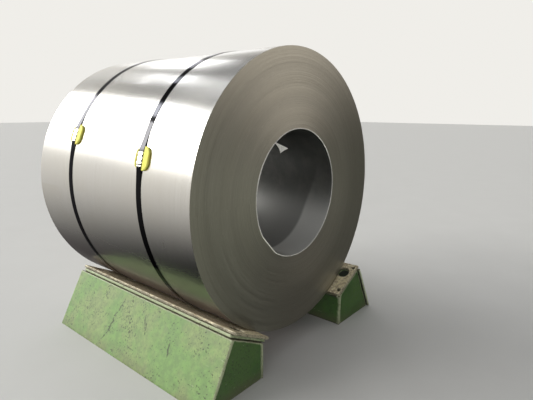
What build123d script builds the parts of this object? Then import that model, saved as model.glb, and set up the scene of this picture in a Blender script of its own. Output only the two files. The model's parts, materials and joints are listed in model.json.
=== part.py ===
from build123d import *
from math import acos, atan2, cos, degrees, radians, sin, tan
import os

# Steel coil lying on a pair of welded chocks, with two tensioned straps round it.
# Millimetres, +Z up, floor at z = 0. The coil's axis lies along Y and its front end faces -Y.
# The origin is on the floor, in the middle of the outline in X and in Y.

# Coil
coil_width = 1240.0
bore_radius = 305.0
coil_radius = 675.0
floor_to_coil = 125.0
turn_groups = 7             # bands of turns that show on each end
group_stagger = 1.2         # step from one band to the next
stagger_cycle = 3           # bands step back this many times before they start again
inner_wrap_thickness = 5.0  # the innermost turns, which stand proud of the end
inner_wrap_proud = 2.0

# Straps, each lifted over a pad and joined by a crimped seal
strap_width = 32.0
strap_thickness = 0.9
strap_gap = 0.2             # clearance between layers of coil, pad, seal and strap
front_strap_from_end = 323.0
back_strap_from_end = 899.0
front_strap_angle = 1.95    # degrees that the strap leans back with height
back_strap_angle = 2.4
front_seal_angle = 16.8     # degrees above the horizontal, on the -X side
back_seal_angle = 23.4
strap_tail = 9.0            # length of the strap's end past the seal

# Pads under the seals, each pressed into a channel by its strap
pad_length = 100.0          # around the coil
pad_width = 90.0
pad_thickness = 10.0
pad_pressed = 3.5           # thickness left under the strap
pad_channel_clearance = 0.6 # between the seal and the sides of the channel
pad_corner = 34.0
pad_edge_chamfer = 2.5
pad_offset = -14.0          # the pad's middle sits this far along Y from its strap

# Seals
seal_length = 52.0
seal_sheet = 1.2
seal_slot = 8.0             # opening between the two folded lips underneath
notch_depth = 3.2           # V-shaped notches, cut through the seal and the straps in it
notch_spacing = 20.0

# Tape on the innermost turn, stuck to the wall of the bore
tape_length = 60.0
tape_width = 24.0
tape_thickness = 0.4
tape_angle = 55.0           # degrees above the horizontal, on the -X side

# Chocks
liner_slope = 27.5
liner_width = 240.0         # along the slope
liner_below_contact = 14.0  # the liner reaches this far below the line where the coil rests
liner_thickness = 14.0
liner_seat = 0.3            # clearance between liner and strap
chock_length = 1222.0
chock_overhang = 72.0       # the chocks start this far in front of the coil
seat_thickness = 18.0
seat_lip = 2.0              # the seat plate stands out past the liner's edges
seat_inset = 18.0           # from the chock's ends
box_plate = 16.0            # outer and inner plates of the chock's box
weld_ledge = 6.0            # the outer plate stands out past the seat plate's edge
inner_setback = 19.0        # the inner plate stands back from the seat plate's lower edge
end_plate_thickness = 12.0
end_inset = 12.0            # end plates, from the chock's ends

# Bolt holes go through the liners, and the big holes through the seat plates as well
bolt_hole_radius = 8.2
bolt_hole_from_end = 22.0
bolt_hole_from_low_edge = 33.0
bolt_hole_from_high_edge = 28.0
big_hole_radius = 33.0
big_hole_from_end = 63.0
big_hole_from_high_edge = 75.0

# Heights and stations that follow
axis_height = floor_to_coil + coil_radius
chock_front = -(chock_overhang + coil_width) / 2
chock_back = chock_front + chock_length
coil_front = chock_front + chock_overhang
coil_back = coil_front + coil_width
coil_axis = Axis((0, 0, axis_height), (0, 1, 0))
finished = []


def finish(builder, name):
    """Label a piece and keep it for export."""
    builder.part.label = name
    finished.append(builder.part)


def across(y):
    """Plane square to the coil's axis at y, its origin on the axis, its x to the right."""
    return Plane(origin=(0, y, axis_height), x_dir=(1, 0, 0), z_dir=(0, -1, 0))


def around(radius, angle):
    """Point of a plane made by across(), at an angle above the horizontal on the -X side."""
    return (-radius * cos(radians(angle)), radius * sin(radians(angle)))


# Coil: one turned solid with its bore
def coil_end():
    """Stations (distance in from the end, radius) from the bore out to the last turn."""
    first = bore_radius + inner_wrap_thickness
    pitch = (coil_radius - first) / turn_groups
    stations = [(0, bore_radius), (0, first)]
    for band in range(turn_groups):
        setback = inner_wrap_proud + group_stagger * (band % stagger_cycle)
        stations.append((setback, first + band * pitch))
        stations.append((setback, first + (band + 1) * pitch))
    return stations


lengthwise = Plane(origin=(0, 0, axis_height), x_dir=(0, 1, 0), z_dir=(1, 0, 0))
front_outline = [(coil_front + inward, radius) for inward, radius in coil_end()]
back_outline = [(coil_back - inward, radius) for inward, radius in reversed(coil_end())]
with BuildPart() as coil:
    with BuildSketch(lengthwise):
        with BuildLine():
            Polyline(*front_outline, *back_outline, close=True)
        make_face()
    revolve(axis=coil_axis)
finish(coil, "coil")

# Radii at which coil, pad, seal and strap stack up
pad_base = coil_radius + strap_gap
pad_top = pad_base + pad_thickness
channel_floor = pad_base + pad_pressed
seal_base = channel_floor + strap_gap
strap_on_coil = coil_radius + strap_gap
strap_in_seal = seal_base + seal_sheet + strap_gap
seal_half_width = strap_width / 2 + strap_gap + seal_sheet
seal_height = 2 * (seal_sheet + strap_gap + strap_thickness)
channel_half_width = seal_half_width + pad_channel_clearance
lap_half = seal_length / 2 + strap_tail


def draw_strap_loop(radius, lift, seal_angle):
    """Draw a loop round the coil that rises over the pad and runs flat through the seal."""
    flat_turn = degrees(atan2(lap_half, lift))
    flat_radius = lift / cos(radians(flat_turn))
    edge_turn = degrees(pad_length / 2 / channel_floor)
    edge_radius = lift - seal_sheet
    run_off = edge_turn + degrees(acos(radius / edge_radius))
    Polyline(
        around(radius, seal_angle - run_off),
        around(edge_radius, seal_angle - edge_turn),
        around(flat_radius, seal_angle - flat_turn),
        around(flat_radius, seal_angle + flat_turn),
        around(edge_radius, seal_angle + edge_turn),
        around(radius, seal_angle + run_off),
    )
    CenterArc((0, 0), radius, 180 - seal_angle + run_off, 360 - 2 * run_off)


def leaning_edge(strap_y, lean, side):
    """Plane through one edge of a strap that leans back with height."""
    edge_y = strap_y + side * strap_width / 2
    return Plane(
        origin=(0, edge_y, axis_height), x_dir=(1, 0, 0), z_dir=(0, side, -side * lean)
    )


def outward(strap_y, lean, seal_angle, radius, shift=0.0):
    """Plane facing out from the coil at a seal, with its x up along the leaning strap."""
    x, height = around(radius, seal_angle)
    climb = radians(seal_angle)
    return Plane(
        origin=(x, strap_y + lean * height + shift, axis_height + height),
        x_dir=(sin(climb), lean * cos(climb), cos(climb)),
        z_dir=(-cos(climb), 0, sin(climb)),
    )


# Straps, pads and seals: the same set twice, at its own place and lean
straps = {
    "front": (coil_front + front_strap_from_end, front_strap_angle, front_seal_angle),
    "back": (coil_front + back_strap_from_end, back_strap_angle, back_seal_angle),
}
notches = GridLocations(notch_spacing, 2 * seal_half_width, 2, 2)
notch_side = notch_depth * 2**0.5
for place, (strap_y, strap_angle, seal_angle) in straps.items():
    lean = tan(radians(strap_angle))
    out = outward(strap_y, lean, seal_angle, seal_base)
    way_out = Axis(out.origin, out.z_dir)
    ring_half = strap_width / 2 + lean * (strap_in_seal + lap_half)
    with BuildPart() as strap:
        with BuildSketch(across(strap_y + ring_half)):
            with BuildLine():
                draw_strap_loop(
                    strap_on_coil + strap_thickness, strap_in_seal + strap_thickness, seal_angle
                )
            make_face()
            with BuildLine():
                draw_strap_loop(strap_on_coil, strap_in_seal, seal_angle)
            make_face(mode=Mode.SUBTRACT)
        extrude(amount=2 * ring_half)
        split(bisect_by=leaning_edge(strap_y, lean, 1), keep=Keep.BOTTOM)
        split(bisect_by=leaning_edge(strap_y, lean, -1), keep=Keep.BOTTOM)
        # The strap's free end, lapped on top of it through the seal
        with BuildSketch(out.offset(strap_in_seal - seal_base + strap_thickness / 2)):
            Rectangle(2 * lap_half, strap_width * cos(radians(strap_angle)))
        extrude(amount=1.5 * strap_thickness)
        with BuildSketch(out):
            with notches:
                Rectangle(notch_side, notch_side, rotation=45)
        extrude(amount=seal_height, mode=Mode.SUBTRACT)
    finish(strap, f"strap_{place}")

    with BuildPart() as channel:
        with BuildSketch(out.offset(-pad_length / 2)):
            Rectangle(2 * pad_length, 2 * channel_half_width)
        extrude(amount=pad_length)
        with BuildSketch(across(coil_back)):
            Circle(pad_top + pad_length)
            Circle(channel_floor, mode=Mode.SUBTRACT)
        extrude(amount=coil_width, mode=Mode.INTERSECT)

    pad_plane = outward(strap_y, lean, seal_angle, coil_radius - pad_length / 2, pad_offset)
    with BuildPart() as pad:
        with BuildSketch(pad_plane):
            RectangleRounded(pad_length, pad_width, pad_corner)
        extrude(amount=pad_length)
        with BuildSketch(across(coil_back)):
            Circle(pad_top)
            Circle(pad_base, mode=Mode.SUBTRACT)
        extrude(amount=coil_width, mode=Mode.INTERSECT)
        chamfer(pad.faces().sort_by(way_out)[-1].edges(), pad_edge_chamfer)
        add(channel.part, mode=Mode.SUBTRACT)
    finish(pad, f"pad_{place}")

    seal_end = out.origin - out.x_dir * (seal_length / 2)
    with BuildPart() as seal:
        with BuildSketch(Plane(seal_end, x_dir=out.y_dir, z_dir=out.x_dir)) as folded:
            Rectangle(2 * seal_half_width, seal_height, align=(Align.CENTER, Align.MIN))
            fillet(folded.vertices().group_by(Axis.Y)[-1], seal_sheet)
            with Locations((0, seal_height / 2)):
                Rectangle(
                    2 * (seal_half_width - seal_sheet), seal_height - 2 * seal_sheet,
                    mode=Mode.SUBTRACT,
                )
            Rectangle(seal_slot, 3 * seal_sheet, mode=Mode.SUBTRACT)
        extrude(amount=seal_length)
        with BuildSketch(out):
            with notches:
                Rectangle(notch_side, notch_side, rotation=45)
        extrude(amount=seal_height, mode=Mode.SUBTRACT)
    finish(seal, f"seal_{place}")

# Tape inside the bore's front edge
tape_outer = bore_radius - strap_gap
tape_turn = degrees(tape_width / tape_outer)
with BuildPart() as tape:
    with BuildSketch(across(coil_front + tape_length)):
        with BuildLine():
            outer = CenterArc((0, 0), tape_outer, 180 - tape_angle, tape_turn)
            inner = CenterArc((0, 0), tape_outer - tape_thickness, 180 - tape_angle, tape_turn)
            Line(outer @ 0, inner @ 0)
            Line(outer @ 1, inner @ 1)
        make_face()
    extrude(amount=tape_length)
finish(tape, "bore_tape")

# Chocks: the right-hand one is made, and the left-hand one is its mirror image
slope = radians(liner_slope)
liner_to_axis = strap_on_coil + strap_thickness + liner_seat
contact_x = liner_to_axis * sin(slope)
contact_z = axis_height - liner_to_axis * cos(slope)
box_depth = liner_thickness + seat_thickness
outer_run = liner_width + seat_lip + weld_ledge
chock_middle = (chock_front + chock_back) / 2


def section(run, depth):
    """Point (x, z) at a run up the slope from the liner's lower edge, below its face."""
    from_contact = run - liner_below_contact
    x = contact_x + from_contact * cos(slope) + depth * sin(slope)
    z = contact_z + from_contact * sin(slope) - depth * cos(slope)
    return (x, z)


def foot(run):
    """Point (x, 0) where a plate square to the slope meets the floor."""
    x, z = section(run, 0)
    return (x + z * tan(slope), 0)


def under_seat(x):
    """Point (x, z) on the underside of the seat plate."""
    z = contact_z + (x - contact_x) * tan(slope) - box_depth / cos(slope)
    return (x, z)


def sloped(depth):
    """Plane on the slope at a depth below the liner's face: x up the slope, y along the coil."""
    x, z = section(0, depth)
    return Plane(
        origin=(x, 0, z), x_dir=(cos(slope), 0, sin(slope)), z_dir=(-sin(slope), 0, cos(slope))
    )


def ends(inset):
    """The two stations along Y that lie this far in from the chock's ends."""
    return (chock_front + inset, chock_back - inset)


bolt_hole_runs = (bolt_hole_from_low_edge, liner_width - bolt_hole_from_high_edge)
bolt_hole_points = [(run, y) for run in bolt_hole_runs for y in ends(bolt_hole_from_end)]
big_hole_points = [(liner_width - big_hole_from_high_edge, y) for y in ends(big_hole_from_end)]
inner_face = section(-seat_lip, liner_thickness)[0] + inner_setback
inner_back = inner_face + box_plate
outer_inside = outer_run - box_plate

with BuildPart() as liner:
    with BuildSketch(sloped(0)):
        with Locations((liner_width / 2, chock_middle)):
            Rectangle(liner_width, chock_length)
        with Locations(*big_hole_points):
            Circle(big_hole_radius, mode=Mode.SUBTRACT)
        with Locations(*bolt_hole_points):
            Circle(bolt_hole_radius, mode=Mode.SUBTRACT)
    extrude(amount=-liner_thickness)

with BuildPart() as seat_plate:
    with BuildSketch(sloped(liner_thickness)):
        with Locations((liner_width / 2, chock_middle)):
            Rectangle(liner_width + 2 * seat_lip, chock_length - 2 * seat_inset)
        with Locations(*big_hole_points):
            Circle(big_hole_radius, mode=Mode.SUBTRACT)
    extrude(amount=-seat_thickness)


def along_chock(inset):
    """Plane square to Y at the chock's back end, its x to the right and its y up."""
    return Plane(origin=(0, chock_back - inset, 0), x_dir=(1, 0, 0), z_dir=(0, -1, 0))


with BuildPart() as outer_plate:
    with BuildSketch(along_chock(0)):
        with BuildLine():
            Polyline(
                section(outer_run, box_depth), foot(outer_run),
                foot(outer_inside), section(outer_inside, box_depth), close=True,
            )
        make_face()
    extrude(amount=chock_length)

with BuildPart() as inner_plate:
    with BuildSketch(along_chock(end_inset)):
        with BuildLine():
            Polyline(
                (inner_face, 0), (inner_back, 0),
                under_seat(inner_back), under_seat(inner_face), close=True,
            )
        make_face()
    extrude(amount=chock_length - 2 * end_inset)

end_plates = {}
for place, inset in (("front", chock_length - end_inset - end_plate_thickness), ("back", end_inset)):
    with BuildPart() as end_plate:
        with BuildSketch(along_chock(inset)):
            with BuildLine():
                Polyline(
                    (inner_back, 0), foot(outer_inside),
                    section(outer_inside, box_depth), under_seat(inner_back), close=True,
                )
            make_face()
        extrude(amount=end_plate_thickness)
    end_plates[f"{place}_end_plate"] = end_plate

chock = {
    "liner": liner,
    "seat_plate": seat_plate,
    "outer_plate": outer_plate,
    "inner_plate": inner_plate,
    **end_plates,
}
for name, piece in chock.items():
    finish(piece, f"right_{name}")
    with BuildPart() as twin:
        mirror(piece.part, about=Plane.YZ)
    finish(twin, f"left_{name}")

os.makedirs("parts", exist_ok=True)
for piece in finished:
    export_step(piece, f"parts/{piece.label}.step")
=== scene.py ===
import json
import math

import bmesh
import bpy
from mathutils import Matrix, Vector, noise


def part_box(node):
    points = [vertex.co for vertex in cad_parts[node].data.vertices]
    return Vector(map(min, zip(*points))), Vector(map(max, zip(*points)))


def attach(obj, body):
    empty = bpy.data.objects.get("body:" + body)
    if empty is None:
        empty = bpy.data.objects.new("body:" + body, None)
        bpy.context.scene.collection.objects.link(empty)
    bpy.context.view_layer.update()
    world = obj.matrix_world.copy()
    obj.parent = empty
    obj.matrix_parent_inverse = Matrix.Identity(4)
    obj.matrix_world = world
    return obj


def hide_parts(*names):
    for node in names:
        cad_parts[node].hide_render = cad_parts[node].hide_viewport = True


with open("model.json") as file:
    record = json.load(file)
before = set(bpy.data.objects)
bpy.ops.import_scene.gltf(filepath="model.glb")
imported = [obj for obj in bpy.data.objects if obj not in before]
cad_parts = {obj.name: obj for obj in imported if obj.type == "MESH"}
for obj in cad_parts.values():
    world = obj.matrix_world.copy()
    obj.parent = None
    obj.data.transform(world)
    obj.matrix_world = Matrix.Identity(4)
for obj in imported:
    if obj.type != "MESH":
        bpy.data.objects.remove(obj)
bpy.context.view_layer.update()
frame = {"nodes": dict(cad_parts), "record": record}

# Sizes of the model, in metres. The row frame has the coil's axis along Y, its front end facing -Y.
coil_low, coil_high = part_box("coil")
coil_front, coil_back = coil_low.y, coil_high.y
coil_radius = (coil_high.x - coil_low.x) / 2
axis_height = (coil_high.z + coil_low.z) / 2
mounts = {mount["name"]: mount for mount in frame["record"]["mounts"]}
bore_radius = mounts["bore"]["dims"]["r_mm"] / 1000

strap_width = 0.032
strap_thickness = 0.0009
strap_gap = 0.0002
strap_tail = 0.009
straps = {
    "front": {"from_end": 0.323, "lean": math.tan(math.radians(1.95)), "seal_angle": 16.8},
    "back": {"from_end": 0.899, "lean": math.tan(math.radians(2.4)), "seal_angle": 23.4},
}
pad_length, pad_width, pad_thickness, pad_corner = 0.100, 0.090, 0.010, 0.034
pad_pressed = 0.0035
pad_offset = -0.014
seal_length, seal_sheet = 0.052, 0.0012
notch_spacing = 0.020

liner_slope = math.radians(27.5)
liner_thickness, seat_thickness = 0.014, 0.018
liner_seat = 0.0003
liner_to_axis = coil_radius + strap_gap + strap_thickness + liner_seat


def around(radius, angle):
    """(x, z) from the coil's axis, at degrees above the horizontal on the -X side."""
    return (-radius * math.cos(math.radians(angle)), radius * math.sin(math.radians(angle)))


def soft_step(value, low, high):
    """0 below low, 1 above high, smooth between."""
    share = min(1.0, max(0.0, (value - low) / (high - low)))
    return share * share * (3 - 2 * share)


# Node materials
def add_node(tree, kind, inputs=None, **settings):
    """New node with its settings, and its inputs linked or set."""
    node = tree.nodes.new(kind)
    for name, value in settings.items():
        setattr(node, name, value)
    for key, value in (inputs or {}).items():
        if isinstance(value, bpy.types.NodeSocket):
            tree.links.new(value, node.inputs[key])
        else:
            node.inputs[key].default_value = value
    return node


def calc(tree, operation, first, second=0.0, third=0.0, clamp=False):
    """Output of a Math node."""
    inputs = {0: first, 1: second, 2: third}
    return add_node(tree, "ShaderNodeMath", inputs, operation=operation, use_clamp=clamp).outputs[0]


def times(tree, first, second):
    """Product of two numbers or sockets."""
    return calc(tree, "MULTIPLY", first, second)


def minus(tree, first, second):
    """Difference of two numbers or sockets."""
    return calc(tree, "SUBTRACT", first, second)


def most(tree, shares):
    """Largest of several shares."""
    total = shares[0]
    for share in shares[1:]:
        total = calc(tree, "MAXIMUM", total, share)
    return total


def vector(tree, x, y, z=0.0):
    """Vector of three numbers or sockets."""
    return add_node(tree, "ShaderNodeCombineXYZ", {0: x, 1: y, 2: z}).outputs[0]


def parts_of(tree, value):
    """The three parts of a vector."""
    return add_node(tree, "ShaderNodeSeparateXYZ", {0: value}).outputs


def cloud(tree, where, scale, detail=4.0, roughness=0.55, distortion=0.0):
    """Noise from 0 to 1."""
    inputs = {
        "Vector": where, "Scale": scale, "Detail": detail, "Roughness": roughness,
        "Distortion": distortion,
    }
    return add_node(tree, "ShaderNodeTexNoise", inputs).outputs["Fac"]


def cloud_over(tree, first, first_scale, second, second_scale, detail=4.0, roughness=0.55):
    """Noise over two coordinates, each at a scale of its own."""
    where = vector(tree, times(tree, first, first_scale), times(tree, second, second_scale))
    return cloud(tree, where, 1.0, detail, roughness)


def between(tree, value, low, high, to_low=0.0, to_high=1.0):
    """Value mapped smoothly from one range to another."""
    inputs = {"Value": value, 1: low, 2: high, 3: to_low, 4: to_high}
    return add_node(
        tree, "ShaderNodeMapRange", inputs, interpolation_type="SMOOTHSTEP"
    ).outputs["Result"]


def mix(tree, share, first, second):
    """Mixed colour."""
    inputs = {0: share, 6: first, 7: second}
    return add_node(tree, "ShaderNodeMix", inputs, data_type="RGBA").outputs[2]


def vector_calc(tree, operation, inputs, output=0, **settings):
    """Output of a Vector Math node."""
    node = add_node(tree, "ShaderNodeVectorMath", inputs, operation=operation, **settings)
    return node.outputs[output]


def shade(tree, colour, share):
    """Colour made darker or lighter by a factor."""
    return vector_calc(tree, "SCALE", {0: colour, "Scale": share})


def bump(tree, height, strength, distance, under=None):
    """Normal from a height, over another normal if one is given."""
    inputs = {"Height": height, "Strength": strength, "Distance": distance}
    if under is not None:
        inputs["Normal"] = under
    return add_node(tree, "ShaderNodeBump", inputs).outputs["Normal"]


def new_material(name, **shader):
    """Material with a Principled shader, some of its sockets set. Returns both and the tree."""
    material = bpy.data.materials.new(name)
    material.use_nodes = True
    tree = material.node_tree
    principled = tree.nodes["Principled BSDF"]
    for socket, value in shader.items():
        principled.inputs[socket.replace("_", " ")].default_value = value
    return material, tree, principled


def link(tree, shader, **sources):
    """Link sockets of a shader to what gives their values."""
    for socket, source in sources.items():
        tree.links.new(source, shader.inputs[socket.replace("_", " ")])


def place(tree, kind="Object"):
    """Texture coordinates. Object coordinates are the row frame's, in metres."""
    return add_node(tree, "ShaderNodeTexCoord").outputs[kind]


def height_of(tree):
    """Height above the floor."""
    return parts_of(tree, place(tree))[2]


def facing_up(tree):
    """1 on faces that look straight up, -1 on faces that look straight down."""
    return parts_of(tree, place(tree, "Normal"))[2]


def edge_share(tree):
    """About 0.5 on flat faces, more on edges that stand out."""
    return add_node(tree, "ShaderNodeNewGeometry").outputs["Pointiness"]


def coil_place(tree):
    """Radius from the coil's axis, angle round it in radians, and y."""
    x, y, z = parts_of(tree, place(tree))
    up = minus(tree, z, axis_height)
    square = calc(tree, "ADD", times(tree, x, x), times(tree, up, up))
    return calc(tree, "SQRT", square), calc(tree, "ARCTAN2", up, x), y


def round_grain(tree):
    """Tangent that runs round the coil."""
    return add_node(tree, "ShaderNodeTangent", direction_type="RADIAL", axis="Y").outputs[0]


# Marks on the outer turn: degrees above the horizontal on the -X side, distance from the front
# end, length and width
wrap_marks = (
    (-12.3, 0.190, 0.022, 0.009),
    (23.3, 0.644, 0.020, 0.012),
    (22.6, 0.603, 0.014, 0.010),
)
# Heights over which painted shade darkens the outer turn towards the bottom, where its roughness also
# rises
shaded_band_full, shaded_band_top = 0.39, 0.62


def mark_spots(tree, angle, y):
    """1 on the marks of the outer turn, broken up, and 0 off them."""
    spots = []
    for degrees_up, from_end, length, width in wrap_marks:
        half_turn = math.copysign(180, degrees_up)
        along = minus(tree, angle, math.radians(half_turn - degrees_up))
        along = times(tree, along, coil_radius / length)
        across = times(tree, minus(tree, y, coil_front + from_end), 1 / width)
        distance = calc(tree, "ADD", times(tree, along, along), times(tree, across, across))
        spots.append(between(tree, distance, 1.0, 0.0))
    broken = between(tree, cloud(tree, place(tree), 160.0, 4.0, 0.7), 0.42, 0.62)
    return times(tree, most(tree, spots), broken)


def wrap_steel():
    """The strip's flat side: satin, with faint streaks along the rolling direction, and painted shade
    that darkens it towards the bottom.
    """
    bright, dull, brown = (0.66, 0.65, 0.63, 1), (0.63, 0.62, 0.595, 1), (0.62, 0.60, 0.55, 1)
    painted_shade, marked = (0.27, 0.22, 0.24, 1), (0.16, 0.15, 0.13, 1)
    material, tree, shader = new_material("wrap_steel", Metallic=1.0, Anisotropic=0.15,
                                         Anisotropic_Rotation=0.25, Coat_Weight=0.3, Coat_Roughness=0.06)
    radius, angle, y = coil_place(tree)
    height = height_of(tree)
    streaks = cloud_over(tree, angle, 1.2, y, 170.0, 5.0)
    patches = cloud_over(tree, angle, 2.2, y, 2.4, 3.0)
    grain = cloud(tree, place(tree), 900.0, 2.0)
    marks = mark_spots(tree, angle, y)
    colour = mix(tree, between(tree, streaks, 0.3, 0.7), dull, bright)
    colour = mix(tree, between(tree, patches, 0.35, 0.7, 0.0, 0.5), colour, brown)
    # Painted shade: the outer turn darker and tinted towards the bottom
    colour = mix(tree, between(tree, height, shaded_band_top, shaded_band_full), colour, painted_shade)
    colour = mix(tree, times(tree, marks, 0.8), colour, marked)
    rough = calc(tree, "ADD", between(tree, streaks, 0.25, 0.75, 0.216, 0.224),
                 between(tree, patches, 0.3, 0.7, 0.0, 0.03))
    rough = calc(tree, "ADD", rough, between(tree, height, shaded_band_top, 0.40, 0.0, 0.16))
    rough = calc(tree, "ADD", rough, times(tree, marks, 0.25))
    normal = bump(tree, grain, 0.02, 0.0003, bump(tree, streaks, 0.012, 0.0003))
    link(tree, shader, Base_Color=colour, Roughness=rough, Normal=normal, Tangent=round_grain(tree))
    return material


def end_steel():
    """The ends: the edges of hundreds of turns, which show as fine rings and short arcs, with a painted
    highlight towards the bore.
    """
    dark_turn, light_turn = (0.315, 0.30, 0.255, 1), (0.445, 0.43, 0.375, 1)
    dark_group, light_band = (0.33, 0.31, 0.275, 1), (0.46, 0.45, 0.42, 1)
    light_arc, dark_arc = (0.62, 0.59, 0.54, 1), (0.20, 0.19, 0.17, 1)
    material, tree, shader = new_material("end_steel", Metallic=1.0, Anisotropic=0.5,
                                         Anisotropic_Rotation=0.25)
    radius, angle, _ = coil_place(tree)
    turns = cloud_over(tree, radius, 900.0, angle, 0.5, 4.0, 0.65)
    groups = cloud_over(tree, radius, 140.0, angle, 0.6, 4.0, 0.6)
    bands = cloud_over(tree, radius, 12.0, angle, 0.3, 2.0, 0.5)
    arcs = cloud_over(tree, radius, 420.0, angle, 9.0, 4.0, 0.65)
    colour = mix(tree, between(tree, turns, 0.3, 0.7), dark_turn, light_turn)
    colour = mix(tree, between(tree, groups, 0.35, 0.65, 0.0, 0.2), colour, dark_group)
    colour = mix(tree, between(tree, bands, 0.4, 0.7, 0.0, 0.1), colour, light_band)
    colour = mix(tree, between(tree, arcs, 0.60, 0.72, 0.0, 0.6), colour, light_arc)
    colour = mix(tree, between(tree, arcs, 0.40, 0.28, 0.0, 0.6), colour, dark_arc)
    # Painted highlight: the end made lighter towards the bore
    colour = shade(tree, colour, between(tree, radius, 0.33, 0.60, 1.35, 1.0))
    rough = between(tree, groups, 0.3, 0.7, 0.36, 0.42)
    normal = bump(tree, turns, 0.2, 0.0005)
    link(tree, shader, Base_Color=colour, Roughness=rough, Normal=normal, Tangent=round_grain(tree))
    return material


def painted_light_crescent(tree, angle, y):
    """Share of the painted pool of light inside the bore's front rim, widest at the bottom."""
    widest, narrowest, soft_edge = 0.155, 0.035, 0.010
    edge = between(tree, angle, math.radians(-30), math.radians(60), widest, narrowest)
    past_edge = minus(tree, minus(tree, y, coil_front), edge)
    inside = between(tree, past_edge, soft_edge, -soft_edge)
    left_end = between(tree, angle, math.radians(-112), math.radians(-92))
    fade = between(tree, angle, math.radians(30), math.radians(-50))
    return times(tree, times(tree, inside, left_end), fade)


def bore_steel():
    """The innermost turn's inside: oily above, dulled by dust on its lower half, with a painted pool of
    light inside its front rim.
    """
    dark, light, dusty = (0.21, 0.215, 0.21, 1), (0.265, 0.265, 0.255, 1), (0.27, 0.27, 0.26, 1)
    material, tree, shader = new_material("bore_steel", Anisotropic=0.4, Anisotropic_Rotation=0.25)
    radius, angle, y = coil_place(tree)
    streaks = cloud_over(tree, angle, 1.5, y, 90.0)
    dust = cloud(tree, place(tree), 9.0, 6.0, 0.65)
    ragged_height = calc(tree, "MULTIPLY_ADD", dust, 0.10, height_of(tree))
    low = between(tree, ragged_height, axis_height + 0.03, axis_height - 0.14)
    colour = mix(tree, between(tree, dust, 0.4, 0.7), dark, light)
    colour = mix(tree, low, colour, dusty)
    # Painted light: a lighter crescent inside the bore's front rim
    lighter = calc(tree, "MULTIPLY_ADD", painted_light_crescent(tree, angle, y), 1.3, 1.0)
    colour = shade(tree, colour, lighter)
    metal = calc(tree, "MULTIPLY_ADD", low, -0.65, 1.0)
    rough = between(tree, streaks, 0.3, 0.7, 0.38, 0.48)
    normal = bump(tree, streaks, 0.15, 0.0005)
    link(tree, shader, Base_Color=colour, Metallic=metal, Roughness=rough, Normal=normal,
         Tangent=round_grain(tree))
    return material


def slit_edge():
    """The innermost turn's slit edge: bright cut metal, made near white as a painted highlight along the
    rim.
    """
    grey, white = (0.80, 0.79, 0.75, 1), (1.0, 0.99, 0.95, 1)
    material, tree, shader = new_material("slit_edge", Metallic=0.5)
    nicks = cloud(tree, place(tree), 120.0, 5.0, 0.7)
    # Painted highlight: a near-white colour on the bright cut edge
    link(tree, shader, Base_Color=mix(tree, between(tree, nicks, 0.35, 0.6), grey, white),
         Roughness=between(tree, nicks, 0.3, 0.7, 0.30, 0.45), Normal=bump(tree, nicks, 0.3, 0.0006))
    return material


def black_strap():
    """Black lacquered strapping, rubbed in spots, with painted shade that darkens its lower half."""
    black, rubbed = (0.038, 0.038, 0.040, 1), (0.07, 0.07, 0.068, 1)
    strap_shade_full, strap_shade_top = 0.98, 1.03
    material, tree, shader = new_material("black_strap", Metallic=1.0,
                                         Specular_Tint=(0.60, 0.60, 0.62, 1))
    wear = cloud(tree, place(tree), 210.0, 5.0, 0.7)
    slow = cloud(tree, place(tree), 24.0, 3.0)
    colour = mix(tree, between(tree, wear, 0.62, 0.78), black, rubbed)
    # Painted shade: the strap darker on its lower half
    colour = shade(tree, colour, between(tree, height_of(tree), strap_shade_full, strap_shade_top, 0.35, 1.0))
    link(tree, shader, Base_Color=colour, Roughness=between(tree, slow, 0.3, 0.7, 0.04, 0.07),
         Normal=bump(tree, slow, 0.15, 0.0008))
    return material


def painted_notch_shadows(tree, strap):
    """1 in the painted shadow of a seal's notches and along its lower end, 0 elsewhere."""
    notch_dark, notch_reach, end_dark, end_reach = 0.0050, 0.0075, 0.0022, 0.0032
    end_slant, seal_half = 0.06, seal_length / 2
    radius, angle, y = coil_place(tree)
    rise = times(tree, times(tree, radius, calc(tree, "SINE", angle)), strap["lean"])
    across = minus(tree, minus(tree, y, coil_front + strap["from_end"]), rise)
    turn = minus(tree, math.radians(180 - strap["seal_angle"]), angle)
    along = times(tree, turn, coil_radius)
    edge = minus(tree, strap_width / 2 + seal_sheet, calc(tree, "ABSOLUTE", across))
    lower_end = calc(tree, "MULTIPLY_ADD", across, end_slant, along)
    marks = [between(tree, lower_end, end_reach - seal_half, end_dark - seal_half)]
    for offset in (-notch_spacing / 2, notch_spacing / 2):
        near = calc(tree, "ABSOLUTE", minus(tree, along, offset))
        marks.append(between(tree, calc(tree, "ADD", near, edge), notch_reach, notch_dark))
    return most(tree, marks)


def zinc(name, light, dark, strap=None):
    """Bright zinc with a fine spangle and rubbed spots, and on a seal with painted shadow in its notches
    and along its lower end.
    """
    notch_shadow = (0.012, 0.012, 0.012, 1)
    material, tree, shader = new_material(name, Metallic=1.0)
    spangle = add_node(tree, "ShaderNodeTexVoronoi", {"Vector": place(tree), "Scale": 260.0})
    rub = cloud(tree, place(tree), 85.0)
    colour = mix(tree, spangle.outputs["Distance"], light, dark)
    colour = mix(tree, between(tree, rub, 0.55, 0.75, 0.0, 0.5), colour, dark)
    if strap:
        # Painted shadow in the seal's notches and along its lower end
        colour = mix(tree, painted_notch_shadows(tree, strap), colour, notch_shadow)
    link(tree, shader, Base_Color=colour, Roughness=between(tree, rub, 0.3, 0.7, 0.28, 0.42),
         Normal=bump(tree, rub, 0.2, 0.0006))
    return material


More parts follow.
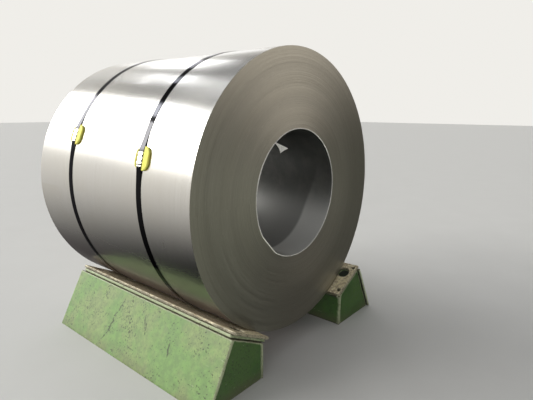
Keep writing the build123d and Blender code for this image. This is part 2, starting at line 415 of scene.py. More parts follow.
def yellow_pad():
    """Yellow moulded pad, a little dusty and dirty."""
    deep, light, dirty = (0.86, 0.79, 0.12, 1), (0.92, 0.87, 0.19, 1), (0.52, 0.49, 0.16, 1)
    material, tree, shader = new_material("yellow_pad", Subsurface_Weight=0.08, Specular_IOR_Level=0.15)
    dirt = cloud(tree, place(tree), 60.0, 6.0, 0.7)
    pores = cloud(tree, place(tree), 700.0, 3.0)
    colour = mix(tree, between(tree, dirt, 0.3, 0.55), deep, light)
    colour = mix(tree, between(tree, dirt, 0.58, 0.78, 0.0, 0.6), colour, dirty)
    link(tree, shader, Base_Color=colour, Roughness=between(tree, dirt, 0.3, 0.7, 0.42, 0.60),
         Normal=bump(tree, pores, 0.2, 0.0005))
    return material


def paper_tape():
    """Grey paper tape, creased."""
    grey, pale = (0.66, 0.66, 0.62, 1), (0.88, 0.88, 0.83, 1)
    material, tree, shader = new_material("paper_tape")
    creases = cloud(tree, place(tree), 130.0, 5.0, 0.6, 0.4)
    link(tree, shader, Base_Color=mix(tree, between(tree, creases, 0.3, 0.7), grey, pale),
         Roughness=between(tree, creases, 0.3, 0.7, 0.55, 0.75), Normal=bump(tree, creases, 0.4, 0.001))
    return material


# Dark scrapes down the left chock's outer plate, each from one (y, z) to another, with its half width
plate_scrapes = (
    (0.086, 0.246, 0.124, 0.150, 0.0022),
    (0.120, 0.158, 0.134, 0.086, 0.0052),
    (0.134, 0.088, 0.172, 0.030, 0.0020),
    (-0.125, 0.190, -0.139, 0.150, 0.0034),
    (-0.318, 0.167, -0.327, 0.117, 0.0040),
    (-0.105, 0.215, -0.121, 0.170, 0.0022),
)


def scrapes(tree, where):
    """1 on the dark scrapes, 0 off them, with broken edges."""
    x, y, z = parts_of(tree, where)
    wobble = minus(tree, cloud(tree, where, 26.0, 4.0, 0.6), 0.5)
    point = vector(tree, calc(tree, "MULTIPLY_ADD", wobble, 0.030, y), z)
    rough = minus(tree, cloud(tree, where, 150.0, 4.0, 0.7), 0.5)
    marks = []
    for y0, z0, y1, z1, half_width in plate_scrapes:
        line = Vector((y1 - y0, z1 - z0, 0))
        offset = vector_calc(tree, "SUBTRACT", {0: point, 1: (y0, z0, 0)})
        along = vector_calc(tree, "DOT_PRODUCT", {0: offset, 1: line / line.length_squared}, "Value")
        share = calc(tree, "ADD", along, 0.0, clamp=True)
        nearest = vector_calc(tree, "SCALE", {0: tuple(line), "Scale": share})
        gap = vector_calc(tree, "DISTANCE", {0: offset, 1: nearest}, "Value")
        gap = calc(tree, "MULTIPLY_ADD", rough, 0.007, gap)
        marks.append(between(tree, gap, 1.6 * half_width, 0.7 * half_width))
    broken = between(tree, cloud(tree, where, 55.0, 5.0, 0.7), 0.40, 0.50)
    left_only = between(tree, x, -0.30, -0.32)
    return times(tree, times(tree, most(tree, marks), broken), left_only)


def joint_lines(tree, where, ragged):
    """Share of dirt in the joints under the liner and under the seat plate."""
    line_edge, line_dark, raggedness = 0.0005, -0.0020, -0.008
    x, _, z = parts_of(tree, where)
    out = times(tree, calc(tree, "ABSOLUTE", x), math.sin(liner_slope))
    down = times(tree, minus(tree, axis_height, z), math.cos(liner_slope))
    depth = minus(tree, calc(tree, "ADD", out, down), liner_to_axis)
    lines = []
    for joint in (liner_thickness, liner_thickness + seat_thickness):
        gap = calc(tree, "ABSOLUTE", minus(tree, depth, joint))
        gap = calc(tree, "MULTIPLY_ADD", ragged, raggedness, gap)
        lines.append(between(tree, gap, line_edge, line_dark))
    return times(tree, most(tree, lines), 0.85)


def paint_coat(tree, noises, fresh, faded, contrast):
    """The paint's colour before damage: faded, mottled, stained and flecked."""
    colour = mix(tree, between(tree, noises["blotch"], 0.40, 0.60), fresh, faded)
    mottling = between(tree, noises["mottle"], 0.36, 0.64, 1 - contrast, 1 + 0.6 * contrast)
    stained = times(tree, between(tree, noises["blotch"], 0.42, 0.60),
                    between(tree, noises["dabs"], 0.46, 0.62))
    colour = shade(tree, colour, mottling)
    return shade(tree, colour, calc(tree, "MULTIPLY_ADD", stained, -1.2 * contrast, 1.0))


def worn_paint(name, fresh, faded, grime_share, contrast, scraped=False):
    """Old green paint: faded, mottled, pitted, chipped to rust at edges, scratched, grimy low down, with
    painted shade on faces that look down.
    """
    fleck, pit, rubbed_edge = (0.55, 0.60, 0.42, 1), (0.035, 0.05, 0.02, 1), (0.50, 0.55, 0.36, 1)
    rust, grimy = (0.12, 0.085, 0.055, 1), (0.10, 0.085, 0.05, 1)
    grime_height = 0.075
    material, tree, shader = new_material(name)
    where = place(tree)
    stretched = add_node(tree, "ShaderNodeMapping", {"Vector": where, "Scale": (1.0, 1.3, 0.8)})
    along = add_node(tree, "ShaderNodeMapping",
                     {"Vector": where, "Rotation": (0.5, 0.0, 0.0), "Scale": (0.5, 0.16, 2.4)})
    noises = {
        "blotch": cloud(tree, where, 5.0, 5.0, 0.6),
        "mottle": cloud(tree, where, 30.0, 8.0, 0.72),
        "dabs": cloud(tree, stretched.outputs[0], 100.0, 5.0, 0.75),
        "specks": cloud(tree, where, 110.0, 2.0, 0.55),
        "clusters": cloud(tree, where, 9.0, 3.0, 0.6),
        "scratches": cloud(tree, along.outputs[0], 60.0, 3.0, 0.55),
    }
    mottle, specks = noises["mottle"], noises["specks"]
    colour = paint_coat(tree, noises, fresh, faded, contrast)
    scratched = between(tree, noises["scratches"], 0.70, 0.74)
    for light_marks in (between(tree, noises["dabs"], 0.30, 0.26), scratched):
        colour = mix(tree, times(tree, light_marks, 0.5), colour, fleck)
    pits = between(tree, calc(tree, "MULTIPLY_ADD", noises["clusters"], 0.4, specks), 0.83, 0.87)
    if scraped:
        pits = most(tree, [pits, scrapes(tree, where)])
    colour = mix(tree, times(tree, pits, 0.9), colour, pit)
    rubbed = between(tree, calc(tree, "MULTIPLY_ADD", mottle, 0.06, edge_share(tree)), 0.548, 0.575)
    colour = mix(tree, times(tree, rubbed, 0.8), colour, rubbed_edge)
    colour = mix(tree, times(tree, rubbed, between(tree, specks, 0.60, 0.68)), colour, rust)
    # Painted shade: faces that look down made much darker
    colour = shade(tree, colour, between(tree, facing_up(tree), -0.20, -0.30, 1.0, 0.15))
    low = times(tree, between(tree, height_of(tree), grime_height, 0.0),
                between(tree, noises["blotch"], 0.3, 0.6))
    grime = most(tree, [times(tree, low, grime_share), joint_lines(tree, where, mottle)])
    normal = bump(tree, mottle, 0.35, 0.0014)
    normal = bump(tree, calc(tree, "ADD", pits, scratched), -0.5, 0.0009, normal)
    link(tree, shader, Base_Color=mix(tree, grime, colour, grimy), Normal=normal,
         Roughness=between(tree, mottle, 0.3, 0.75, 0.45, 0.70))
    return material


def worn_liner():
    """Bare wear plate: rubbed, stained brown and grey, pale along its battered edges, with painted light
    on faces that look up.
    """
    grey, pale, brown = (0.23, 0.205, 0.13, 1), (0.34, 0.315, 0.225, 1), (0.12, 0.095, 0.06, 1)
    joint, rubbed_edge, pit = (0.05, 0.04, 0.028, 1), (0.50, 0.46, 0.33, 1), (0.06, 0.045, 0.03, 1)
    material, tree, shader = new_material("worn_liner")
    where = place(tree)
    blotch = cloud(tree, where, 11.0, 6.0, 0.62)
    mottle = cloud(tree, where, 75.0, 6.0, 0.7)
    specks = cloud(tree, where, 260.0, 3.0, 0.75)
    colour = mix(tree, between(tree, blotch, 0.35, 0.65), grey, pale)
    colour = mix(tree, between(tree, mottle, 0.42, 0.60, 0.0, 0.85), colour, brown)
    colour = mix(tree, joint_lines(tree, where, mottle), colour, joint)
    # Painted light: faces that look up made lighter
    colour = shade(tree, colour, between(tree, facing_up(tree), 0.6, 0.85, 1.0, 3.4))
    rubbed = between(tree, calc(tree, "MULTIPLY_ADD", mottle, -0.09, edge_share(tree)), 0.475, 0.505)
    colour = mix(tree, times(tree, rubbed, 0.7), colour, rubbed_edge)
    colour = mix(tree, times(tree, between(tree, specks, 0.62, 0.68), 0.85), colour, pit)
    normal = bump(tree, specks, 0.3, 0.0007, bump(tree, mottle, 0.4, 0.0016))
    link(tree, shader, Base_Color=colour, Metallic=between(tree, blotch, 0.35, 0.7, 0.0, 0.45),
         Roughness=between(tree, mottle, 0.3, 0.7, 0.42, 0.66), Normal=normal)
    return material


def pale_floor():
    """Plain pale studio floor with a faint mottle."""
    dark, light = (0.60, 0.60, 0.585, 1), (0.66, 0.66, 0.645, 1)
    material, tree, shader = new_material("pale_floor")
    mottle = cloud(tree, place(tree), 3.0, 5.0)
    link(tree, shader, Base_Color=mix(tree, mottle, dark, light),
         Roughness=between(tree, mottle, 0.3, 0.7, 0.65, 0.75))
    return material


# Pieces
def seat(piece, replaced=()):
    """Link a piece, ride it on the body and hide the nodes that it stands for."""
    bpy.context.scene.collection.objects.link(piece)
    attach(piece, "root")
    if replaced:
        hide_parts(*replaced)
    return piece


def smooth_faces(mesh):
    """Shade every face of a mesh smooth."""
    mesh.polygons.foreach_set("use_smooth", [True] * len(mesh.polygons))


def new_piece(name, vertices, faces, materials, replaced=(), face_materials=None, sharp=35):
    """Mesh object that rides on the object's one body and stands for the nodes it replaces."""
    mesh = bpy.data.meshes.new(name)
    mesh.from_pydata([tuple(vertex) for vertex in vertices], [], faces)
    for material in materials:
        mesh.materials.append(material)
    if face_materials:
        mesh.polygons.foreach_set("material_index", face_materials)
    tidy = bmesh.new()
    tidy.from_mesh(mesh)
    bmesh.ops.recalc_face_normals(tidy, faces=tidy.faces)
    tidy.to_mesh(mesh)
    tidy.free()
    smooth_faces(mesh)
    mesh.set_sharp_from_angle(angle=math.radians(sharp))
    return seat(bpy.data.objects.new(name, mesh), replaced)


# Coil: rings of turns on both ends, a proud and slightly bent innermost turn, and the outer
# turn's end as a step on the hidden side
band_count = 7
band_step = 0.0012
band_cycle = 3
band_share = 0.15
inner_turns = 0.005
inner_proud = 0.002
ring_pitch = 0.003
ring_uneven = 0.00014
strip_step = 0.0011
tail_angle = 333.0
kink_from, kink_to = 211.0, 236.0
kink_reach = 0.002
bore_sways = ((0.0016, 2, -20), (0.0010, 3, 70))
bore_sag = 0.0005
wrap_wave, wrap_wave_depth = 2.1, 0.00035
end_soft = 0.05
coil_columns, wrap_rows, bore_rows = 240, 60, 12
on_wrap, on_end, on_rim, on_bore = range(4)


def bore_edge(angle):
    """Radius of the innermost turn: a little out of round, with one flat where it kinked."""
    radius = bore_radius - bore_sag
    for size, waves, start in bore_sways:
        radius += size * math.sin(math.radians(waves * angle + start))
    if kink_from < angle < kink_to:
        middle = math.radians((kink_from + kink_to) / 2)
        half = math.radians((kink_to - kink_from) / 2)
        chord = (bore_radius + kink_reach) * math.cos(half) / math.cos(math.radians(angle) - middle)
        radius = min(radius, chord)
    return radius


def band_setback(radius):
    """How far the end lies back from the innermost turn's edge, in bands that run together."""
    first = bore_radius + inner_turns
    place_in_bands = (radius - first) * band_count / (coil_radius - first)
    band = min(max(int(place_in_bands), 0), band_count - 1)
    ahead = min(band + 1, band_count - 1)
    blend = soft_step(place_in_bands - band, 0.2, 1.0)
    here, there = [band_step * (number % band_cycle) for number in (band, ahead)]
    return inner_proud + band_share * (here + (there - here) * blend)


def end_profile():
    """(radius, setback) from the bore outwards: the rounded rim, then small uneven rings."""
    first = bore_radius + inner_turns
    rows = [(bore_radius, 0.0014), (bore_radius + 0.0009, 0.0003), (bore_radius + 0.0022, 0.0),
            (first - 0.0010, 0.0002), (first - 0.0001, 0.0012), (first, inner_proud)]
    ring_count = round((coil_radius - first) / ring_pitch)
    for ring in range(1, ring_count):
        radius = first + (coil_radius - first) * ring / ring_count
        uneven = ring_uneven * noise.noise(Vector((radius * 310, 0.5, 0)))
        uneven += ring_uneven * noise.noise(Vector((radius * 62, 3.5, 0)))
        rows.append((radius, band_setback(radius) + abs(uneven)))
    rows.append((coil_radius - 0.0006, rows[-1][1] + 0.0001))
    rows.append((coil_radius, rows[-1][1] + 0.0007))
    return rows


def coil_profile():
    """(radius, y, material) of the coil's whole outline: front end, wrap, back end and bore."""
    ends = end_profile()
    rim_rows = 5
    profile = [(radius, coil_front + setback, on_rim if row < rim_rows else on_end)
               for row, (radius, setback) in enumerate(ends)]
    wrap_start, wrap_end = coil_front + ends[-1][1], coil_back - ends[-1][1]
    profile[-1] = (coil_radius, wrap_start, on_wrap)
    for row in range(1, wrap_rows):
        profile.append((coil_radius, wrap_start + (wrap_end - wrap_start) * row / wrap_rows, on_wrap))
    profile += [(radius, coil_back - setback, on_rim if len(ends) - row <= rim_rows + 1 else on_end)
                for row, (radius, setback) in enumerate(reversed(ends))]
    bore_start, bore_end = coil_back - ends[0][1], coil_front + ends[0][1]
    profile[-1] = (bore_radius, bore_start, on_bore)
    for row in range(1, bore_rows):
        profile.append((bore_radius, bore_start + (bore_end - bore_start) * row / bore_rows, on_bore))
    return profile


def make_coil():
    """Closed lathe of the coil, with a column of points on each side of the outer turn's end."""
    columns = sorted([360 * step / coil_columns for step in range(coil_columns)] + [tail_angle - 0.02])
    profile = coil_profile()
    vertices = []
    for angle in columns:
        turned = ((angle - tail_angle) % 360) / 360
        cos, sin = math.cos(math.radians(angle)), math.sin(math.radians(angle))
        for radius, y, kind in profile:
            outer = soft_step(radius, coil_radius - end_soft, coil_radius)
            inner = 1 - soft_step(radius, bore_radius, bore_radius + end_soft)
            r = radius - outer * strip_step * turned + inner * (bore_edge(angle) - bore_radius)
            if kind == on_wrap:
                wave = noise.noise(Vector((cos * wrap_wave, y * 2.3, sin * wrap_wave)))
                r -= wrap_wave_depth * (0.5 + 0.5 * wave)
            vertices.append((r * cos, y, axis_height + r * sin))
    count, rows = len(columns), len(profile)
    faces, kinds = [], []
    for column in range(count):
        ahead = (column + 1) % count
        for row in range(rows):
            below = (row + 1) % rows
            faces.append((column * rows + row, column * rows + below,
                          ahead * rows + below, ahead * rows + row))
            kinds.append(profile[row][2])
    materials = [wrap_steel(), end_steel(), slit_edge(), bore_steel()]
    return new_piece("wound_coil", vertices, faces, materials, ["coil"], kinds, 25)


# Straps: one strip each, its two ends lapped inside the seal
strap_edge = 0.00025
strap_inset = 0.00002  # keeps the strap inside the CAD's box
lap_gap = 0.00005
strap_steps, strap_pitch = 340, 0.006


def strap_line(seal_angle):
    """(x, z) points of the strap's underside, from the tail below the seal, round the coil, and
    up through the seal again under the first layer."""
    on_coil = coil_radius + strap_gap
    in_seal = on_coil + pad_pressed + strap_gap + seal_sheet + strap_gap
    lap_half = seal_length / 2 + strap_tail
    flat_turn = math.degrees(math.atan2(lap_half, in_seal))
    flat_radius = in_seal / math.cos(math.radians(flat_turn))
    edge_turn = math.degrees(pad_length / 2 / (on_coil + pad_pressed))
    edge_radius = in_seal - seal_sheet
    run_off = edge_turn + math.degrees(math.acos(on_coil / edge_radius))
    lift = strap_thickness + lap_gap

    def at(radius, turn, raised=0.0):
        return around(radius + raised, seal_angle + turn)

    corners = [at(flat_radius, -flat_turn, lift), at(flat_radius, flat_turn, lift),
               at(edge_radius, edge_turn, 0.4 * lift), at(on_coil, run_off)]
    round_trip = 360 - 2 * run_off
    corners += [at(on_coil, run_off + round_trip * step / strap_steps) for step in range(1, strap_steps)]
    corners += [at(on_coil, -run_off), at(edge_radius, -edge_turn),
                at(flat_radius, -flat_turn), at(flat_radius, flat_turn)]
    points = []
    for (x0, z0), (x1, z1) in zip(corners, corners[1:]):
        pieces = max(1, round(math.hypot(x1 - x0, z1 - z0) / strap_pitch))
        points += [Vector((x0 + (x1 - x0) * k / pieces, z0 + (z1 - z0) * k / pieces))
                   for k in range(pieces)]
    points.append(Vector(corners[-1]))
    for _ in range(3):
        points = [points[0]] + [(a + 2 * b + c) / 4 for a, b, c in
                                zip(points, points[1:], points[2:])] + [points[-1]]
    return points


def make_strap(place_name, painted, bare, from_end, lean, seal_angle):
    """Sweep the strap's section, its corners broken, along its line."""
    line = strap_line(seal_angle)
    half, thick, edge = strap_width / 2, strap_thickness - strap_inset, strap_edge
    section = [(-half, edge), (-half + edge, 0), (half - edge, 0), (half, edge),
               (half, thick - edge), (half - edge, thick), (-half + edge, thick), (-half, thick - edge)]
    count = len(section)
    vertices, faces, kinds = [], [], []
    travelled, bare_length = 0.0, strap_tail - 0.001
    for index, point in enumerate(line):
        before, after = line[max(0, index - 1)], line[min(len(line) - 1, index + 1)]
        ahead = (after - before).normalized()
        out = Vector((-ahead.y, ahead.x))
        if out.dot(point) < 0:
            out = -out
        for across, up in section:
            x, z = point + out * up
            vertices.append((x, coil_front + from_end + lean * z + across, axis_height + z))
        if index:
            base, last = index * count, (index - 1) * count
            travelled += (point - line[index - 1]).length
            for k in range(count):
                step = (k + 1) % count
                faces.append((last + k, last + step, base + step, base + k))
                kinds.append(1 if travelled < bare_length else 0)
    faces += [tuple(range(count)), tuple(range(len(vertices) - count, len(vertices)))]
    kinds += [1, 1]
    name = f"strap_{place_name}"
    return new_piece(f"{name}_strip", vertices, faces, [painted, bare], [name], kinds, 40)


# Pads: moulded, with rounded edges, pressed down where the strap crosses
pad_edge_round = 0.0038
pad_foot_share = 0.985
pad_channel_side = 0.010
pad_crown, pad_slack = 0.0006, 0.0003
pad_outline_pitch = 0.003
pad_corner_steps = 14
pad_side_heights = (0.0012, 0.0035)
pad_rings = [1.0, 0.994, 0.98, 0.96, 0.93, 0.89, 0.84, 0.78, 0.71, 0.64, 0.56, 0.48, 0.4, 0.32,
             0.24, 0.16, 0.08]


def pad_outline():
    """Points of the pad's rounded rectangle, anticlockwise, at an even pitch."""
    corners = []
    for sign_x, sign_y, start in ((1, 1, 0), (-1, 1, 90), (-1, -1, 180), (1, -1, 270)):
        centre = Vector((sign_x * (pad_length / 2 - pad_corner), sign_y * (pad_width / 2 - pad_corner)))
        for step in range(pad_corner_steps + 1):
            turn = math.radians(start + 90 * step / pad_corner_steps)
            corners.append(centre + Vector((math.cos(turn), math.sin(turn))) * pad_corner)
    points = []
    for (x0, y0), (x1, y1) in zip(corners, corners[1:] + corners[:1]):
        pieces = max(1, round(math.hypot(x1 - x0, y1 - y0) / pad_outline_pitch))
        points += [Vector((x0 + (x1 - x0) * k / pieces, y0 + (y1 - y0) * k / pieces))
                   for k in range(pieces)]
    return points


def pad_top(x, y, seed):
    """Height of the pad's top: rounded at its edge, sunk under the strap."""
    from_x = abs(x) - (pad_length / 2 - pad_corner)
    from_y = abs(y) - (pad_width / 2 - pad_corner)
    outside = math.hypot(max(from_x, 0), max(from_y, 0)) + min(max(from_x, from_y), 0)
    off_round = pad_edge_round - min(pad_corner - outside, pad_edge_round)
    rounded = pad_edge_round - math.sqrt(max(0.0, pad_edge_round ** 2 - off_round ** 2))
    off_strap = abs(y + pad_offset) - (strap_width / 2 + strap_gap + seal_sheet)
    pressed = 1 - soft_step(off_strap, strap_gap, pad_channel_side)
    crown = pad_crown * noise.noise(Vector((x * 30, y * 30, seed)))
    free = pad_thickness - pad_slack - abs(crown)
    return min(free - rounded, free + (pad_pressed - strap_gap - free) * pressed)


def make_pad(place_name, material, from_end, lean, seal_angle):
    """Soft slab with rounded edges, its top sunk into a channel where the strap presses it."""
    def to_coil(x, y, height):
        turn = seal_angle + math.degrees(x / coil_radius)
        across, up = around(coil_radius + strap_gap + height, turn)
        return (across, coil_front + from_end + lean * up + pad_offset + y, axis_height + up)

    just_inside, least_rise = 0.9999, 0.0002
    outline = pad_outline()
    vertices = [to_coil(x * pad_foot_share, y * pad_foot_share, 0.0) for x, y in outline]
    for height in pad_side_heights:
        share = 0.5 * height / pad_side_heights[-1]
        for x, y in outline:
            roof = pad_top(x * just_inside, y * just_inside, seal_angle)
            vertices.append(to_coil(x, y, min(height, roof * share + least_rise)))
    for share in pad_rings:
        for point in outline:
            x, y = point * share
            vertices.append(to_coil(x, y, pad_top(x, y, seal_angle)))
    count, rings = len(outline), len(pad_rings) + len(pad_side_heights) + 1
    faces = []
    for ring in range(rings - 1):
        for k in range(count):
            step = (k + 1) % count
            faces.append((ring * count + k, ring * count + step,
                          (ring + 1) * count + step, (ring + 1) * count + k))
    for ring, height in ((0, 0.0), (rings - 1, pad_top(0, 0, seal_angle))):
        centre = len(vertices)
        vertices.append(to_coil(0, 0, height))
        faces += [(ring * count + k, ring * count + (k + 1) % count, centre) for k in range(count)]
    name = f"pad_{place_name}"
    piece = new_piece(f"{name}_moulding", vertices, faces, [material], [name], sharp=70)
    return piece


def make_seal(place_name, material):
    """Copy of a seal's CAD mesh with its sharp edges broken."""
    node = f"seal_{place_name}"
    name = f"{node}_crimped"
    mesh = frame["nodes"][node].data.copy()
    mesh.name = name
    mesh.materials.clear()
    mesh.materials.append(material)
    cut = bmesh.new()
    cut.from_mesh(mesh)
    bmesh.ops.remove_doubles(cut, verts=cut.verts, dist=1e-6)
    bmesh.ops.dissolve_limit(cut, angle_limit=math.radians(1), verts=cut.verts, edges=cut.edges)
    cut.to_mesh(mesh)
    cut.free()
    piece = seat(bpy.data.objects.new(name, mesh), [node])
    bevel = piece.modifiers.new("broken_edges", "BEVEL")
    bevel.width, bevel.segments, bevel.limit_method = 0.0002, 2, "ANGLE"
    bevel.angle_limit = math.radians(30)
    smooth_faces(mesh)
    mesh.set_sharp_from_angle(angle=math.radians(30))
    return piece


# Tape on the innermost turn: stuck down inside, its loose end hanging out over the bore
tape_angle, tape_length, tape_width, tape_thickness = 125.0, 0.060, 0.024, 0.0004
tape_off_wall, tape_rim = 0.0006, 0.004
neck_width, flap_width, flap_length = 0.009, 0.055, 0.078
flap_hang, flap_end_turn = math.radians(-30.0), math.radians(20.0)
flap_rise, flap_sag, flap_curl, flap_notch = 0.003, 0.004, 0.002, 0.002
wall_steps, flap_steps, tape_columns = 8, 12, 8


def tape_rows():
    """(kind, place, width) of the tape's rows: y on the bore's wall, then shares of the flap."""
    rows = []
    for step in range(wall_steps + 1):
        share = step / wall_steps
        y = coil_front + tape_length * (1 - share) + tape_rim * share
        rows.append(("wall", y, tape_width + (neck_width - tape_width) * share ** 3))
    for step in range(1, flap_steps + 1):
        share = step / flap_steps
        rows.append(("flap", share, neck_width + (flap_width - neck_width) * share ** 1.3))
    return rows


def tape_point(kind, where, aside, from_middle, layer):
    """Point on a layer of the tape, aside from its middle line."""
    radius = bore_edge(tape_angle) - tape_off_wall
    if kind == "wall":
        turn = math.radians(tape_angle) + aside / radius
        radius = bore_edge(math.degrees(turn)) - tape_off_wall - layer * tape_thickness
        return (radius * math.cos(turn), where, axis_height + radius * math.sin(turn))
    turn = math.radians(tape_angle)
    sag = flap_rise * where - flap_sag * math.sin(math.pi * where)
    curl = flap_curl * where * math.sin(3.0 * aside / flap_width)
    notch = flap_notch * where ** 6 * (1 - from_middle)
    reach = flap_length * where - notch
    x = radius * math.cos(turn) + reach * math.cos(flap_hang) - aside * math.cos(flap_end_turn)
    z = radius * math.sin(turn) + reach * math.sin(flap_hang) - aside * math.sin(flap_end_turn)
    return (x, coil_front + tape_rim + sag + curl + layer * tape_thickness, axis_height + z)


def make_tape():
    """Strip on the bore's wall whose front end fans out as a loose flap."""
    rows, columns = tape_rows(), tape_columns
    vertices = []
    for layer in (0, 1):
        for kind, where, width in rows:
            for column in range(columns + 1):
                aside = (column / columns - 0.5) * width
                from_middle = abs(2 * column / columns - 1)
                vertices.append(tape_point(kind, where, aside, from_middle, layer))
    wide, long = columns + 1, len(rows)
    half = wide * long
    faces = []
    for row in range(long - 1):
        for column in range(columns):
            a = row * wide + column
            faces.append((a, a + 1, a + wide + 1, a + wide))
            faces.append((half + a, half + a + wide, half + a + wide + 1, half + a + 1))
    rim = list(range(wide))
    rim += [row * wide + columns for row in range(1, long)]
    rim += [(long - 1) * wide + column for column in reversed(range(columns))]
    rim += [row * wide for row in reversed(range(1, long - 1))]
    for a, b in zip(rim, rim[1:] + rim[:1]):
        faces.append((a, b, half + b, half + a))
    return new_piece("bore_tape_flap", vertices, faces, [paper_tape()], ["bore_tape"], sharp=50)


# Chock plates: the CAD solids with worn edges and faces that aren't quite flat
def across_edge(node, normal):
    """How far a normal leans from its plate's faces: 0 on a face, more on an edge."""
    x, y, z = normal
    if "end_plate" not in node and "inner_plate" not in node:
        side = 1 if node.startswith("right") else -1
        cos, sin = math.cos(liner_slope), math.sin(liner_slope)
        x, z = side * x * cos + z * sin, side * x * sin - z * cos
    return 1 - max(abs(x), abs(y), abs(z))


def worn_copy(node, material, slot, voxel, dent, chip, chip_size):
    """Remesh a copy of a CAD node, dent its faces and break its edges."""
    name = f"{node}_worn"
    source = bpy.data.objects.new(f"{name}_source", frame["nodes"][node].data.copy())
    bpy.context.scene.collection.objects.link(source)
    remesh = source.modifiers.new("remesh", "REMESH")
    remesh.mode, remesh.voxel_size, remesh.adaptivity = "VOXEL", voxel, 0.0
    graph = bpy.context.evaluated_depsgraph_get()
    mesh = bpy.data.meshes.new_from_object(source.evaluated_get(graph))
    bpy.data.objects.remove(source)
    mesh.name = name
    mesh.materials.clear()
    mesh.materials.append(material)
    low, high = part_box(node)
    edge_from, edge_full = 0.03, 0.2
    wide_dents, small_dents = 5.5, 21.0
    moves = []
    for vertex in mesh.vertices:
        co, normal = vertex.co, vertex.normal
        sunk = dent * abs(noise.noise(co * wide_dents) + 0.4 * noise.noise(co * small_dents))
        sharpness = across_edge(node, normal)
        if sharpness > edge_from:
            grain = noise.noise(co * chip_size * 0.4) + 0.8 * noise.noise(co * chip_size * 1.7)
            sunk += chip * max(0.0, grain) * min(1.0, sharpness / edge_full)
        moves.append(co - normal * sunk)
    for vertex, move in zip(mesh.vertices, moves):
        vertex.co = Vector(min(max(a, b), c) for a, b, c in zip(move, low, high))
    smooth_faces(mesh)
    return seat(bpy.data.objects.new(name, mesh), [node])


def make_chocks():
    """Both chocks' plates: material, slot (not used), voxel, depth of dents and chips, and the chips'
    fineness.
    """
    outer = worn_paint("green_outer", (0.19, 0.33, 0.103, 1), (0.26, 0.35, 0.139, 1), 0.35, 0.20, True)
    # Painted shade: a darker copy of the green paint for the inner and end plates
    inner = worn_paint("green_paint_shaded", (0.046, 0.118, 0.023, 1), (0.066, 0.143, 0.032, 1), 0.6, 0.14)
    plates = {
        "liner": (worn_liner(), "worn_steel", 0.0045, 0.0006, 0.0065, 60),
        "seat_plate": (outer, "green_paint", 0.006, 0.0005, 0.003, 70),
        "outer_plate": (outer, "green_paint", 0.006, 0.0008, 0.002, 60),
        "inner_plate": (inner, "green_paint", 0.007, 0.0006, 0.0015, 60),
        "front_end_plate": (inner, "green_paint", 0.006, 0.0005, 0.001, 60),
        "back_end_plate": (inner, "green_paint", 0.006, 0.0005, 0.001, 60),
    }
    for side in ("left", "right"):
        for plate, wear in plates.items():
            worn_copy(f"{side}_{plate}", *wear)


# Studio: plain floor, the camera of the photograph and soft surroundings
def make_floor():
    """Plain pale floor."""
    reach = 40.0
    mesh = bpy.data.meshes.new("floor")
    mesh.from_pydata([(-reach, -reach, 0), (reach, -reach, 0), (reach, reach, 0), (-reach, reach, 0)],
                     [], [(0, 1, 2, 3)])
    mesh.materials.append(pale_floor())
    floor = bpy.data.objects.new("floor", mesh)
    bpy.context.scene.collection.objects.link(floor)
    floor.visible_glossy = False


def set_camera():
    """Camera at the photograph's place, which was fitted to the coil's ends and the chocks."""
    place_of_camera = Vector((-1.6827, -1.7976, 1.1914))
    azimuth, pitch, roll = math.radians(-49.94), math.radians(11.66), math.radians(0.26)
    ahead = Vector((-math.sin(azimuth) * math.cos(pitch), math.cos(azimuth) * math.cos(pitch),
                    -math.sin(pitch)))
    level = Vector((math.cos(azimuth), math.sin(azimuth), 0))
    upright = level.cross(ahead)
    right = math.cos(roll) * level + math.sin(roll) * upright
    up = math.cos(roll) * upright - math.sin(roll) * level
    data = bpy.data.cameras.new("camera")
    data.sensor_width, data.lens = 36.0, 29.49
    camera = bpy.data.objects.new("camera", data)
    bpy.context.scene.collection.objects.link(camera)
    turn = Matrix((right, up, -ahead)).transposed().to_4x4()
    camera.matrix_world = Matrix.Translation(place_of_camera) @ turn
    bpy.context.scene.camera = camera


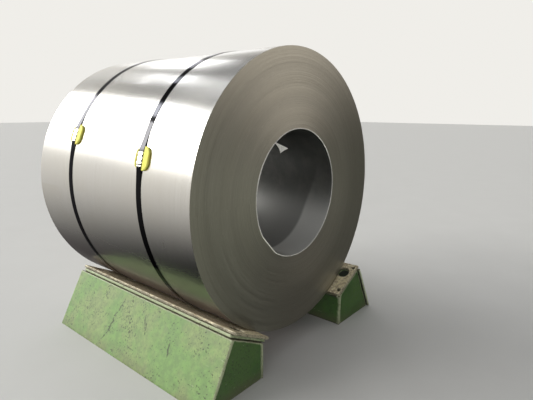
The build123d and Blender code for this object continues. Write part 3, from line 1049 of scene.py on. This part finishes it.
# Soft surroundings: name, azimuth from +Y towards +X and elevation in degrees, each as where the
# glow starts, is full, stays full and ends, then its colour and strength
sky, white, floor_green = (0.97, 0.98, 1.0), (1.0, 1.0, 1.0), (0.95, 1.0, 0.89)
glows = (
    ("low_windows", (-75, -60, -3, 2), (8.0, 28.0, 29.0, 30.0), (1.0, 0.985, 0.95), 13.0),
    ("upper_windows", (-34, -24, -12, -6), (31.0, 32.0, 35.2, 36.5), sky, 13.0),
    ("roof_gap", (8, 10, 15, 18), (36.2, 37.0, 38.6, 39.6), sky, 6.0),
    ("far_window", (24, 26, 33, 36), (25.5, 26.5, 32.5, 34.5), sky, 3.2),
    ("roof_light", (13.5, 14.5, 18.5, 20), (31.3, 31.9, 33.2, 33.8), sky, 3.2),
    ("small_light", (8.5, 9.5, 12.5, 13.5), (32.4, 32.9, 33.7, 34.2), sky, 5.0),
    ("skylight", (-16, -4, 4, 18), (37.5, 41, 46, 60), (0.98, 0.99, 1.0), 0.75),
    ("high_window", (27, 31, 46, 50), (14, 16, 21, 24), (0.93, 0.96, 1.0), 0.7),
    ("back", (-100, -60, 81, 90), (-42, 8, 16, 46), (1.0, 0.97, 0.91), 0.88),
    ("left_wall", (-180, -140, -80, -45), (-5, 20, 60, 80), white, 0.30),
    ("rear_panel", (-168, -148, -118, -97), (-8, 10, 50, 78), white, 0.50),
    ("roof", (-118, -102, 102, 118), (38, 60, 90, 91), (0.94, 0.97, 1.0), 0.70),
    ("ground", (-190, -181, 181, 190), (-91, -90, -65, -48), (0.92, 1.0, 0.84), 0.35),
    ("ground_right", (105, 125, 181, 190), (-91, -90, -51, -39), floor_green, 1.05),
    ("ground_left", (-190, -181, -125, -105), (-91, -90, -51, -39), floor_green, 1.05),
    ("front_ground", (142, 158, 168, 180), (-51, -39, -21, -9), (0.95, 1.0, 0.84), 0.9),
    ("front_wall", (142, 158, 168, 180), (-21, -9, -1, 11), (0.97, 1.0, 0.86), 1.4),
    ("front_windows", (106, 119, 140, 155), (0, 12, 20, 32), (1.0, 0.93, 0.85), 2.25),
)
base_glow = 0.02
backdrop = (0.87, 0.855, 0.815, 1)


def set_world():
    """Soft light from all round: a dim base with a glow for each window, wall, floor and roof.
    The camera itself sees a plain backdrop."""
    world = bpy.data.worlds.new("studio")
    world.use_nodes = True
    tree = world.node_tree
    x, y, z = parts_of(tree, place(tree, "Generated"))
    azimuth = calc(tree, "DEGREES", calc(tree, "ARCTAN2", x, y))
    elevation = calc(tree, "DEGREES", calc(tree, "ARCSINE", z))
    total = (base_glow, base_glow, base_glow)
    for name, across, up, colour, strength in glows:
        share = strength
        for value, (start, full, keep, end) in ((azimuth, across), (elevation, up)):
            share = times(tree, between(tree, value, start, full), share)
            share = times(tree, between(tree, value, end, keep), share)
        tint = vector(tree, share, share, share)
        total = vector_calc(tree, "MULTIPLY_ADD", {0: tint, 1: colour, 2: total}, label=name)
    seen = add_node(tree, "ShaderNodeLightPath").outputs["Is Camera Ray"]
    background = tree.nodes["Background"]
    tree.links.new(mix(tree, seen, total, backdrop), background.inputs[0])
    bpy.context.scene.world = world


make_coil()
painted, bare = black_strap(), zinc("bare_strap", (0.80, 0.79, 0.77, 1), (0.45, 0.44, 0.42, 1))
pad_yellow = yellow_pad()
for place_name, strap in straps.items():
    make_strap(place_name, painted, bare, **strap)
    make_pad(place_name, pad_yellow, **strap)
    seal_zinc = zinc(f"seal_zinc_{place_name}", (0.90, 0.90, 0.89, 1), (0.62, 0.62, 0.60, 1), strap)
    make_seal(place_name, seal_zinc)
make_tape()
make_chocks()
make_floor()
set_camera()
set_world()
bpy.context.scene.view_settings.view_transform = "Standard"
